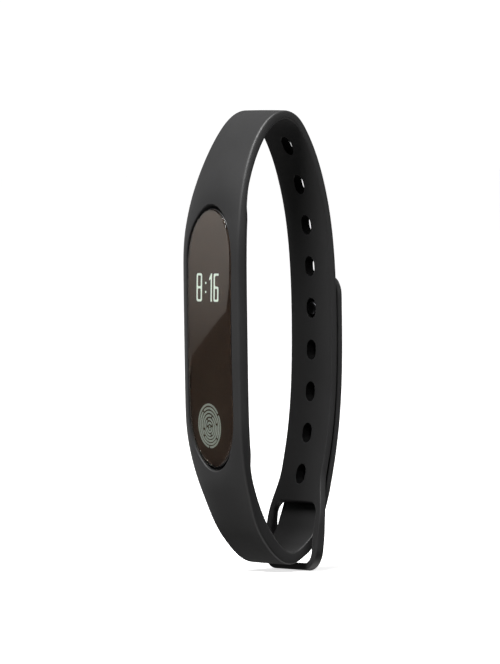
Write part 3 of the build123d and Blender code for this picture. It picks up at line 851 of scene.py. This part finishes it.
def make_icon(material):
    """Generic touch mark: nested ovals, each with two breaks that turn from ring to ring."""
    reach = high("touch_icon", 0) * ICON_SIZE
    middle_z = halfway("touch_icon", 2)
    tall = (high("touch_icon", 2) - middle_z) * ICON_SIZE
    shapes = []
    for k in range(ICON_RINGS):
        rx = reach - ICON_HALF_LINE - ICON_PITCH * k
        rz = tall - ICON_HALF_LINE - ICON_PITCH * k * tall / reach
        gap = math.degrees(ICON_HALF_GAP / rx)
        first = -97 + 53 * k
        second = first + 130 + 40 * (k % 3)
        for start, stop in ((first + gap, second - gap), (second + gap, first + 360 - gap)):
            turn = np.radians(np.linspace(start, stop, 40))
            line = np.column_stack([rx * np.cos(turn), rz * np.sin(turn) - 0.05 * k])
            shapes.append([stroke(line, ICON_HALF_LINE)])
    middle = (ICON_MOVE[0], middle_z + ICON_MOVE[1])
    return flat_shape("touch_mark", shapes, middle, *PRINT_DEPTHS, material)


# ---- stud ----

def lathe(name, profile, origin, axis, material):
    """Round body from (radius, height) points about an axis."""
    axis = Vector(axis).normalized()
    side = axis.orthogonal().normalized()
    other = axis.cross(side)
    count = 64
    rows = []
    for radius, height in profile:
        row = []
        for i in range(count):
            turn = math.tau * i / count
            flat = side * math.cos(turn) + other * math.sin(turn)
            row.append(tuple(Vector(origin) + flat * radius + axis * height))
        rows.append(row)
    return loft(name, rows, material, sharp=40)


def stud_axis():
    """Foot of the stud on the hole side's mid-surface, and the direction out through the tail."""
    foot = place(HOLES[STUD_HOLE], 0.0, 0.0)
    return foot, np.subtract(place(HOLES[STUD_HOLE], 0.0, 1.0), foot)


def make_stud(material):
    """Shaft with a domed, rounded head."""
    foot, out = stud_axis()
    top = high("clasp_cap", 1) - foot[1] - 0.3
    head_r, shaft_r = 1.15, 0.9
    back = -STRAP_T / 2
    profile = [
        (0.0, back), (0.6, back + 0.015), (0.9, back + 0.07), (1.06, back + 0.16),
        (head_r, back + 0.32), (head_r, back + 0.45), (1.08, back + 0.6), (shaft_r, back + 0.7),
        (shaft_r, top), (0.0, top),
    ]
    return lathe("stud", profile, foot, out, material)


def make_cap(material):
    """Flush disc with a chamfer, a fine groove and a shallow dish."""
    foot, out = stud_axis()
    top = high("clasp_cap", 1) - foot[1] - 0.02
    radius = high("clasp_cap", 0)
    profile = [
        (0.0, top - 0.28), (radius, top - 0.28), (radius, top - 0.07), (radius - 0.07, top),
        (1.55, top), (1.5, top - 0.04), (1.4, top - 0.04), (1.35, top),
        (1.0, top - 0.02), (0.5, top - 0.06), (0.0, top - 0.07),
    ]
    return lathe("stud_cap", profile, foot, out, material)


# ---- materials ----

def node(tree, kind, **values):
    made = tree.nodes.new("ShaderNode" + kind)
    for name, value in values.items():
        made.inputs[name.replace("_", " ")].default_value = value
    return made


def operate(tree, operation, source, kind="Math"):
    """Maths node whose first input is linked."""
    made = node(tree, kind)
    made.operation = operation
    tree.links.new(source, made.inputs[0])
    return made


def ramp(tree, source, low_value, high_value, start=0.3, stop=0.7):
    """Source from start to stop becomes low_value to high_value."""
    ends = dict(From_Min=start, From_Max=stop, To_Min=low_value, To_Max=high_value)
    out = node(tree, "MapRange", **ends)
    tree.links.new(source, out.inputs["Value"])
    return out.outputs["Result"]


def noise(tree, grain, detail=4.0):
    """Noise whose grains are about this many millimetres."""
    coords = node(tree, "TexCoord")
    made = node(tree, "TexNoise", Scale=1 / (grain * MM), Detail=detail, Roughness=0.55)
    tree.links.new(coords.outputs["Object"], made.inputs["Vector"])
    return made.outputs["Fac"]


def finish(name, colour, rough, metal=0.0, grain=0.15, depth=0.01, tone=0.12, patch=6.0, **inputs):
    """Procedural finish: patches of tone, uneven roughness and a fine grain in relief."""
    material = bpy.data.materials.new(name)
    material.use_nodes = True
    tree = material.node_tree
    shader = tree.nodes["Principled BSDF"]
    shader.inputs["Metallic"].default_value = metal
    for key, value in inputs.items():
        shader.inputs[key.replace("_", " ")].default_value = value
    mix = node(tree, "Mix")
    mix.data_type = "RGBA"
    tree.links.new(ramp(tree, noise(tree, patch), 0.0, 1.0), mix.inputs[0])
    mix.inputs[6].default_value = (*[c * (1 - tone) for c in colour], 1)
    mix.inputs[7].default_value = (*[min(1, c * (1 + tone)) for c in colour], 1)
    tree.links.new(mix.outputs[2], shader.inputs["Base Color"])
    grains = noise(tree, grain, 3.0)
    uneven = ramp(tree, grains, rough * 0.88, min(1.0, rough * 1.12))
    tree.links.new(uneven, shader.inputs["Roughness"])
    bump = node(tree, "Bump", Strength=0.5, Distance=depth * MM)
    tree.links.new(grains, bump.inputs["Height"])
    tree.links.new(bump.outputs["Normal"], shader.inputs["Normal"])
    return material


def rubber():
    """Matt strap rubber: moulded grain, and edges worn smoother and a little paler."""
    material = finish(
        "strap_rubber", (0.026, 0.026, 0.0265), 0.5, grain=0.16, depth=0.02, tone=0.1, patch=9.0,
        Sheen_Weight=0.12, Sheen_Roughness=0.45, IOR=1.45,
    )
    tree = material.node_tree
    shader = tree.nodes["Principled BSDF"]
    worn = node(tree, "Attribute")
    worn.attribute_name = "worn"
    for socket, times, kind, operation, factor in (
        ("Base Color", 1.12, "VectorMath", "SCALE", "Scale"),
        ("Roughness", 0.93, "Math", "MULTIPLY", 1),
    ):
        scale = operate(tree, operation, shader.inputs[socket].links[0].from_socket, kind)
        tree.links.new(ramp(tree, worn.outputs["Fac"], 1.0, times, 0.0, 1.0), scale.inputs[factor])
        tree.links.new(scale.outputs[0], shader.inputs[socket])
    return material


FINISHES = {
    "lens_glass": dict(
        colour=(0.72, 0.68, 0.63), rough=0.012, grain=2.0, depth=0.0005, tone=0.02,
        Transmission_Weight=1.0, IOR=1.5,
    ),
    "shell_plastic": dict(colour=(0.02, 0.02, 0.02), rough=0.32, grain=0.1, depth=0.004),
    "rear_plastic": dict(colour=(0.022, 0.022, 0.023), rough=0.36, grain=0.12, depth=0.008),
    "seal_rubber": dict(colour=(0.05, 0.05, 0.05), rough=0.6),
    "adhesive_film": dict(colour=(0.012, 0.012, 0.012), rough=0.45),
    "clasp_metal": dict(colour=(0.06, 0.06, 0.065), rough=0.3, metal=1.0, grain=0.08, depth=0.003),
    "sensor_glass": dict(
        colour=(0.2, 0.14, 0.16), rough=0.05, grain=1.5, depth=0.0005,
        Transmission_Weight=1.0, IOR=1.5,
    ),
    "gilding": dict(
        colour=(0.86, 0.62, 0.24), rough=0.22, metal=1.0, grain=0.1, depth=0.002, tone=0.06,
    ),
    "display_black": dict(colour=(0.014, 0.012, 0.012), rough=0.25, grain=0.3, depth=0.001),
    "display_light": dict(
        colour=(0.62, 0.72, 0.66), rough=0.5, tone=0.04,
        Emission_Color=(0.62, 0.74, 0.68, 1), Emission_Strength=0.8,
    ),
    # the touch mark's ink glows faintly in its own colour: painted light, as print is no lamp
    "icon_ink": dict(
        colour=(0.34, 0.39, 0.35), rough=0.55, grain=0.12, tone=0.15, patch=0.6,
        Emission_Color=(0.34, 0.39, 0.35, 1), Emission_Strength=0.35,
    ),
    "copper_film": dict(colour=(0.72, 0.36, 0.2), rough=0.3, metal=1.0, depth=0.002),
    "flex_film": dict(colour=(0.45, 0.2, 0.05), rough=0.35, depth=0.002),
    "board_green": dict(colour=(0.02, 0.12, 0.06), rough=0.4, grain=0.3, depth=0.01, patch=1.2),
    "chip_plastic": dict(colour=(0.018, 0.018, 0.02), rough=0.5, grain=0.06, depth=0.003),
    "ceramic": dict(colour=(0.5, 0.42, 0.3), rough=0.5, grain=0.08, depth=0.003),
    "cell_foil": dict(colour=(0.62, 0.63, 0.65), rough=0.35, metal=1.0, grain=0.8, depth=0.02),
    "nickel": dict(colour=(0.6, 0.58, 0.54), rough=0.3, metal=1.0, depth=0.002),
    "foam": dict(colour=(0.05, 0.05, 0.055), rough=0.9, grain=0.12, depth=0.05),
    "led_green": dict(
        colour=(0.25, 0.6, 0.3), rough=0.3,
        Emission_Color=(0.1, 0.9, 0.25, 1), Emission_Strength=0.15,
    ),
    "diode_dark": dict(colour=(0.03, 0.03, 0.06), rough=0.2, depth=0.001),
    "baffle_plastic": dict(colour=(0.015, 0.015, 0.015), rough=0.6),
    "motor_steel": dict(colour=(0.55, 0.55, 0.56), rough=0.28, metal=1.0, grain=0.1, depth=0.003),
    "tungsten": dict(colour=(0.35, 0.35, 0.37), rough=0.4, metal=1.0, grain=0.1, depth=0.005),
}


def painted_hole_shade():
    """Painted shade: near-black, dull rubber on the holes' walls, standing in for the shade deep
    inside them.
    """
    colour = (0.004, 0.004, 0.004)
    return finish("hole_painted_shade", colour, 0.8, grain=0.16, depth=0.02, Specular_IOR_Level=0.05)


def ink():
    """Brown-black ink seen through the glass."""
    return finish("display_ink", (0.062, 0.039, 0.027), 0.6, tone=0.05, grain=0.4, depth=0.001)


# ---- stage ----

# the surroundings' brightness by height, from straight below (0) to straight above (1)
SKY = ((0.0, 1.8), (0.3, 0.55), (0.5, 0.06), (0.62, 0.12), (0.8, 0.55), (1.0, 0.95))
SKY_FADES = (0.15, 0.65)    # it dims towards the sides, from one |X| to the other,
SKY_SIDES = 0.05            # to this share
FLOOR_REACH = 4000.0
FLOOR_GLOW = 0.7            # lifts the floor to the background's white
KEY = dict(place_at=(150, -450, 900), aim=(0, 0, 10), size=(600, 500), power=19.0)
SIDE = dict(place_at=(650, 260, 200), aim=(0, 0, 0), size=(400, 400), power=0.7)

# the card that the display mirrors
SHEEN = dict(size=(60.0, 150.0), power=0.012, colour=(1.0, 0.93, 0.86), roll=-22.0)
SHEEN_FAR = 315.0
SHEEN_MIRRORED = (0, -11.6, 2.5)        # point of the display that mirrors the card's edge
SHEEN_AZIMUTH = math.radians(55.54)     # the mirrored view's angle from straight ahead
SHEEN_SLANT = math.radians(68.0)
SHEEN_GRADIENT = dict(low_value=0.8, high_value=4.0, start=0.4, stop=0.9)

CAMERA_AZIMUTH = math.radians(56.0)
CAMERA_ELEVATION = math.radians(1.8)
CAMERA_ROLL = math.radians(-0.84)
CAMERA_FAR = 1500.0
CAMERA_LENS = 488.0
AIM_RIGHT, AIM_UP = -2.75, 1.43


def studio_world():
    """White behind the object, and soft light from above and below, dim towards the sides."""
    world = bpy.data.worlds.new("studio")
    bpy.context.scene.world = world
    world.use_nodes = True
    tree = world.node_tree
    tree.nodes.clear()
    coords = node(tree, "TexCoord")
    split = node(tree, "SeparateXYZ")
    tree.links.new(coords.outputs["Generated"], split.inputs[0])
    height = ramp(tree, split.outputs["Z"], 0.0, 1.0, -1.0, 1.0)
    bands = node(tree, "ValToRGB")
    tree.links.new(height, bands.inputs["Fac"])
    stops = bands.color_ramp.elements
    stops[1].position = SKY[-1][0]
    for at, _ in SKY[1:-1]:
        stops.new(at)
    for stop, (_, value) in zip(stops, SKY):
        stop.color = (value, value, value, 1)
    sideways = operate(tree, "ABSOLUTE", split.outputs["X"])
    dimming = ramp(tree, sideways.outputs[0], 1.0, SKY_SIDES, *SKY_FADES)
    strength = operate(tree, "MULTIPLY", bands.outputs["Color"])
    tree.links.new(dimming, strength.inputs[1])
    light = node(tree, "Background", Color=(1.0, 0.99, 0.98, 1))
    tree.links.new(strength.outputs[0], light.inputs["Strength"])
    white = node(tree, "Background", Color=(1, 1, 1, 1), Strength=1.05)
    path = node(tree, "LightPath")
    mix = node(tree, "MixShader")
    tree.links.new(path.outputs["Is Camera Ray"], mix.inputs[0])
    tree.links.new(light.outputs[0], mix.inputs[1])
    tree.links.new(white.outputs[0], mix.inputs[2])
    out = node(tree, "OutputWorld")
    tree.links.new(mix.outputs[0], out.inputs[0])


def make_floor():
    """Plain pale floor; it throws no light back, so the world's lower half does that."""
    material = finish(
        "floor_paper", (0.9, 0.9, 0.9), 0.9, grain=3.0, depth=0.0, tone=0.005, patch=300.0,
        Emission_Color=(1, 1, 1, 1), Emission_Strength=FLOOR_GLOW,
    )
    signs = [(-1, -1), (1, -1), (1, 1), (-1, 1)]
    corners = [(x * FLOOR_REACH, y * FLOOR_REACH, FLOOR_Z) for x, y in signs]
    floor = make_mesh("floor", corners, [(0, 1, 2, 3)], material)
    floor.visible_glossy = False
    floor.visible_diffuse = False
    floor.visible_transmission = False


def area_light(name, place_at, aim, size, power, colour=(1, 1, 1), roll=0.0):
    data = bpy.data.lights.new(name, "AREA")
    data.shape = "RECTANGLE"
    data.size, data.size_y = size[0] * MM, size[1] * MM
    data.energy = power
    data.color = colour
    lamp = bpy.data.objects.new(name, data)
    lamp.location = Vector(place_at) * MM
    facing = Vector(place_at) - Vector(aim)
    lamp.rotation_mode = "QUATERNION"
    turn = facing.to_track_quat("Z", "Y")
    turn.rotate(Quaternion(facing, math.radians(roll)))
    lamp.rotation_quaternion = turn
    lamp.visible_camera = False
    bpy.context.scene.collection.objects.link(lamp)
    return lamp


def make_sheen(glass):
    """Long card that the display reflects; its slanted edge draws the sheen's diagonal."""
    a = SHEEN_AZIMUTH
    along = Vector((-math.sin(a), -math.cos(a), 0))
    across = Vector((-math.cos(a), math.sin(a), 0))
    edge = Vector(SHEEN_MIRRORED) + along * SHEEN_FAR
    normal = across * math.sin(SHEEN_SLANT) + Vector((0, 0, math.cos(SHEEN_SLANT)))
    middle = edge + normal * SHEEN["size"][0] / 2
    lamp = area_light("sheen", middle, middle - along, **SHEEN)
    lit = bpy.data.collections.new("sheen_falls_on")
    lit.objects.link(glass)
    lamp.light_linking.receiver_collection = lit
    lamp.data.use_nodes = True
    tree = lamp.data.node_tree
    place_on = node(tree, "NewGeometry")
    split = node(tree, "SeparateXYZ")
    tree.links.new(place_on.outputs["Parametric"], split.inputs[0])
    brighter = ramp(tree, split.outputs["Y"], **SHEEN_GRADIENT)
    tree.links.new(brighter, tree.nodes["Emission"].inputs["Strength"])


def make_camera():
    """Long lens from the object's right front, nearly level with its middle."""
    a, e = CAMERA_AZIMUTH, CAMERA_ELEVATION
    back = Vector((math.sin(a) * math.cos(e), -math.cos(a) * math.cos(e), math.sin(e)))
    right = Vector((math.cos(a), math.sin(a), 0))
    up = back.cross(right)
    aim = right * AIM_RIGHT + up * AIM_UP
    data = bpy.data.cameras.new("camera")
    data.lens = CAMERA_LENS
    data.sensor_width = 36.0
    data.clip_start, data.clip_end = 0.1, 20.0
    camera = bpy.data.objects.new("camera", data)
    camera.location = (aim + back * CAMERA_FAR) * MM
    camera.rotation_mode = "QUATERNION"
    camera.rotation_quaternion = back.to_track_quat("Z", "Y")
    camera.rotation_quaternion.rotate(Quaternion(back, CAMERA_ROLL))
    bpy.context.scene.collection.objects.link(camera)
    bpy.context.scene.camera = camera


# ---- assembly ----


def add(piece, body, slot, *nodes):
    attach(piece, body)
    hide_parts(*nodes)


def bend(piece, node_name):
    """A strap piece whose placement is baked into its mesh, with the CAD node it stands in for
    hidden.
    """
    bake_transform(piece)
    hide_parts(node_name)


def dress_cad(finishes):
    """Every CAD node that still shows gets the finish of its slot."""
    for part in frame["record"]["subparts"]:
        obj = frame["nodes"][part["node"]]
        if not obj.hide_render:
            obj.data.materials.clear()
            obj.data.materials.append(finishes[part["material_slot"]])


def main():
    strap, hole_shade = rubber(), painted_hole_shade()
    finishes = {slot: finish(slot, **values) for slot, values in FINISHES.items()}
    finishes["strap_rubber"] = strap

    add(make_front(strap), "cradle", "strap_rubber", "strap_cradle")
    bend(make_top(strap, hole_shade), "strap_upper")
    bend(make_back(strap, hole_shade), "strap_keeper_loop")
    under = make_stretch("strap_under", WINDOW_CUT, BOTTOM_CUT, strap)
    bend(under, "strap_bottom")
    throat = make_stretch("strap_throat", EXIT_CUT, WINDOW_CUT, strap)
    bend(throat, "strap_window_bend")
    leave = make_stretch("strap_exit", TIP_CUT, EXIT_CUT, strap)
    bend(leave, "strap_tail")
    bend(make_tip(strap), "strap_tail_tip")

    add(make_stud(finishes["clasp_metal"]), "tail_tip", "clasp_metal", "clasp_stud")
    add(make_cap(finishes["clasp_metal"]), "tail_tip", "clasp_metal", "clasp_cap")
    glass = make_lens(finishes["lens_glass"])
    add(glass, "capsule", "lens_glass", "display_lens")
    add(make_mask(ink()), "capsule", "display_black")
    add(make_digits(finishes["display_light"]), "capsule", "display_light", "display_digits")
    add(make_icon(finishes["icon_ink"]), "capsule", "icon_ink", "touch_icon")
    add(make_shell(finishes["shell_plastic"]), "capsule", "shell_plastic", "capsule_shell")
    dress_cad(finishes)

    studio_world()
    make_floor()
    area_light("key", **KEY)
    area_light("side", **SIDE)
    make_sheen(glass)
    make_camera()
    bpy.context.scene.view_settings.view_transform = "Standard"


main()
